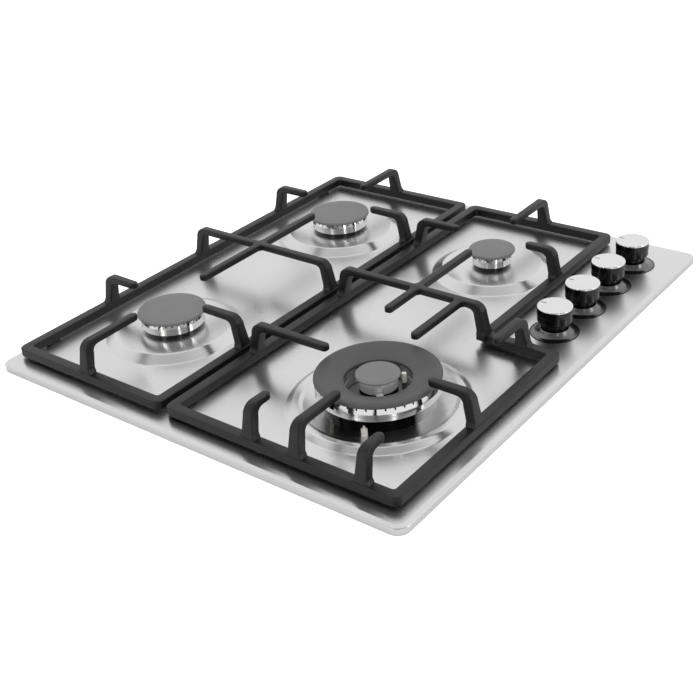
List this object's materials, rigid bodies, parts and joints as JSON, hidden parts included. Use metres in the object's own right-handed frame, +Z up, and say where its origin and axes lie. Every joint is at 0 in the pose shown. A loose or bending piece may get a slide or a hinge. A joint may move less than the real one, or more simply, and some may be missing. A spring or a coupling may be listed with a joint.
{
  "type": "gas cooktop",
  "caption": "Built-in gas cooktop with brushed steel plate, cast grates, wok burner front left, round burners and push-and-turn knobs at the front right.",
  "frame": {"origin": "middle of the plate in plan, at the underside of the tray", "axes": "+X along the front edge to the side of the knobs, +Y to the back, +Z up"},
  "size_m": [0.58, 0.51, 0.0939],
  "materials": {
    "brushed_steel": "brushed stainless steel",
    "galvanised_steel": "galvanised sheet, dull",
    "zinc_screws": "zinc plated",
    "seal_foam": "closed cell foam, matte",
    "rail_steel": "zinc plated tube",
    "brass": "machined brass",
    "pipe_aluminium": "drawn tube",
    "valve_alloy": "die cast",
    "spindle_steel": "turned",
    "knob_plastic": "glossy black",
    "knob_metal": "satin disc with polished edge",
    "bezel_metal": "polished ring",
    "base_enamel": "black coating",
    "base_aluminium": "die cast",
    "crown_aluminium": "polished",
    "cap_enamel": "matte black enamel",
    "ceramic": "white, unglazed",
    "sensor_copper": "copper",
    "generator_plastic": "moulded",
    "switch_plastic": "moulded",
    "silicone": "silicone sleeve",
    "wire_pvc": "insulated wire",
    "grate_enamel": "matte black enamel",
    "foot_rubber": "moulded"
  },
  "bodies": {
    "cooktop": {"top_plate": "brushed_steel", "bottom_tray": "galvanised_steel", "clamp_brackets": "galvanised_steel", "tray_screws": "zinc_screws", "clamp_screws": "zinc_screws", "worktop_seal": "seal_foam", "gas_rail": "rail_steel", "gas_inlet": "brass", "injectors": "brass", "gas_pipes": "pipe_aluminium", "valve_wok": "valve_alloy", "valve_rear_left": "valve_alloy", "valve_rear_right": "valve_alloy", "valve_front_right": "valve_alloy", "knob_bezels": "bezel_metal", "base_rear_left": "base_enamel", "base_rear_right": "base_enamel", "base_front_right": "base_enamel", "base_wok": "base_aluminium", "spark_electrodes": "ceramic", "flame_sensors": "sensor_copper", "sensor_leads": "sensor_copper", "spark_generator": "generator_plastic", "terminal_block": "generator_plastic", "switch_strip": "switch_plastic", "spark_leads": "silicone", "supply_leads": "wire_pvc"},
    "plug_wok_body": {"plug_wok": "brass"},
    "knob_wok_body": {"spindle_wok": "spindle_steel", "knob_wok": "knob_plastic", "knob_disc_wok": "knob_metal"},
    "plug_rear_left_body": {"plug_rear_left": "brass"},
    "knob_rear_left_body": {"spindle_rear_left": "spindle_steel", "knob_rear_left": "knob_plastic", "knob_disc_rear_left": "knob_metal"},
    "plug_rear_right_body": {"plug_rear_right": "brass"},
    "knob_rear_right_body": {"spindle_rear_right": "spindle_steel", "knob_rear_right": "knob_plastic", "knob_disc_rear_right": "knob_metal"},
    "plug_front_right_body": {"plug_front_right": "brass"},
    "knob_front_right_body": {"spindle_front_right": "spindle_steel", "knob_front_right": "knob_plastic", "knob_disc_front_right": "knob_metal"},
    "crown_rear_left_body": {"crown_rear_left": "crown_aluminium"},
    "cap_rear_left_body": {"cap_rear_left": "cap_enamel"},
    "crown_rear_right_body": {"crown_rear_right": "crown_aluminium"},
    "cap_rear_right_body": {"cap_rear_right": "cap_enamel"},
    "crown_front_right_body": {"crown_front_right": "crown_aluminium"},
    "cap_front_right_body": {"cap_front_right": "cap_enamel"},
    "crown_wok_ring_body": {"crown_wok_ring": "crown_aluminium"},
    "cap_wok_ring_body": {"cap_wok_ring": "cap_enamel"},
    "crown_wok_centre_body": {"crown_wok_centre": "crown_aluminium"},
    "cap_wok_centre_body": {"cap_wok_centre": "cap_enamel"},
    "rear_grate_body": {"rear_grate": "grate_enamel", "rear_grate_feet": "foot_rubber"},
    "front_grate_body": {"front_grate": "grate_enamel", "front_grate_feet": "foot_rubber"}
  },
  "joints": [
    {"name": "turn_wok", "type": "hinge", "parent": "cooktop", "child": "plug_wok_body", "pos_m": [0.0534, -0.203, 0.06], "axis": [0, 0, 1], "range_deg": [0, 210]},
    {"name": "push_wok", "type": "slide", "parent": "plug_wok_body", "child": "knob_wok_body", "axis": [0, 0, -1], "range_m": [0, 0.003], "stiffness_N_per_m": 700, "springref_m": -0.002},
    {"name": "turn_rear_left", "type": "hinge", "parent": "cooktop", "child": "plug_rear_left_body", "pos_m": [0.1124, -0.203, 0.06], "axis": [0, 0, 1], "range_deg": [0, 210]},
    {"name": "push_rear_left", "type": "slide", "parent": "plug_rear_left_body", "child": "knob_rear_left_body", "axis": [0, 0, -1], "range_m": [0, 0.003], "stiffness_N_per_m": 700, "springref_m": -0.002},
    {"name": "turn_rear_right", "type": "hinge", "parent": "cooktop", "child": "plug_rear_right_body", "pos_m": [0.1714, -0.203, 0.06], "axis": [0, 0, 1], "range_deg": [0, 210]},
    {"name": "push_rear_right", "type": "slide", "parent": "plug_rear_right_body", "child": "knob_rear_right_body", "axis": [0, 0, -1], "range_m": [0, 0.003], "stiffness_N_per_m": 700, "springref_m": -0.002},
    {"name": "turn_front_right", "type": "hinge", "parent": "cooktop", "child": "plug_front_right_body", "pos_m": [0.2304, -0.203, 0.06], "axis": [0, 0, 1], "range_deg": [0, 210]},
    {"name": "push_front_right", "type": "slide", "parent": "plug_front_right_body", "child": "knob_front_right_body", "axis": [0, 0, -1], "range_m": [0, 0.003], "stiffness_N_per_m": 700, "springref_m": -0.002},
    {"name": "lift_crown_rear_left", "type": "slide", "parent": "cooktop", "child": "crown_rear_left_body", "axis": [0, 0, 1], "range_m": [0, 0.04]},
    {"name": "lift_cap_rear_left", "type": "slide", "parent": "crown_rear_left_body", "child": "cap_rear_left_body", "axis": [0, 0, 1], "range_m": [0, 0.03]},
    {"name": "lift_crown_rear_right", "type": "slide", "parent": "cooktop", "child": "crown_rear_right_body", "axis": [0, 0, 1], "range_m": [0, 0.04]},
    {"name": "lift_cap_rear_right", "type": "slide", "parent": "crown_rear_right_body", "child": "cap_rear_right_body", "axis": [0, 0, 1], "range_m": [0, 0.03]},
    {"name": "lift_crown_front_right", "type": "slide", "parent": "cooktop", "child": "crown_front_right_body", "axis": [0, 0, 1], "range_m": [0, 0.04]},
    {"name": "lift_cap_front_right", "type": "slide", "parent": "crown_front_right_body", "child": "cap_front_right_body", "axis": [0, 0, 1], "range_m": [0, 0.03]},
    {"name": "lift_crown_wok_ring", "type": "slide", "parent": "cooktop", "child": "crown_wok_ring_body", "axis": [0, 0, 1], "range_m": [0, 0.002]},
    {"name": "lift_cap_wok_ring", "type": "slide", "parent": "crown_wok_ring_body", "child": "cap_wok_ring_body", "axis": [0, 0, 1], "range_m": [0, 0.002]},
    {"name": "lift_crown_wok_centre", "type": "slide", "parent": "cooktop", "child": "crown_wok_centre_body", "axis": [0, 0, 1], "range_m": [0, 0.03]},
    {"name": "lift_cap_wok_centre", "type": "slide", "parent": "crown_wok_centre_body", "child": "cap_wok_centre_body", "axis": [0, 0, 1], "range_m": [0, 0.03]},
    {"name": "lift_rear_grate", "type": "slide", "parent": "cooktop", "child": "rear_grate_body", "axis": [0, 0, 1], "range_m": [0, 0.06]},
    {"name": "lift_front_grate", "type": "slide", "parent": "cooktop", "child": "front_grate_body", "axis": [0, 0, 1], "range_m": [0, 0.06]}
  ]
}
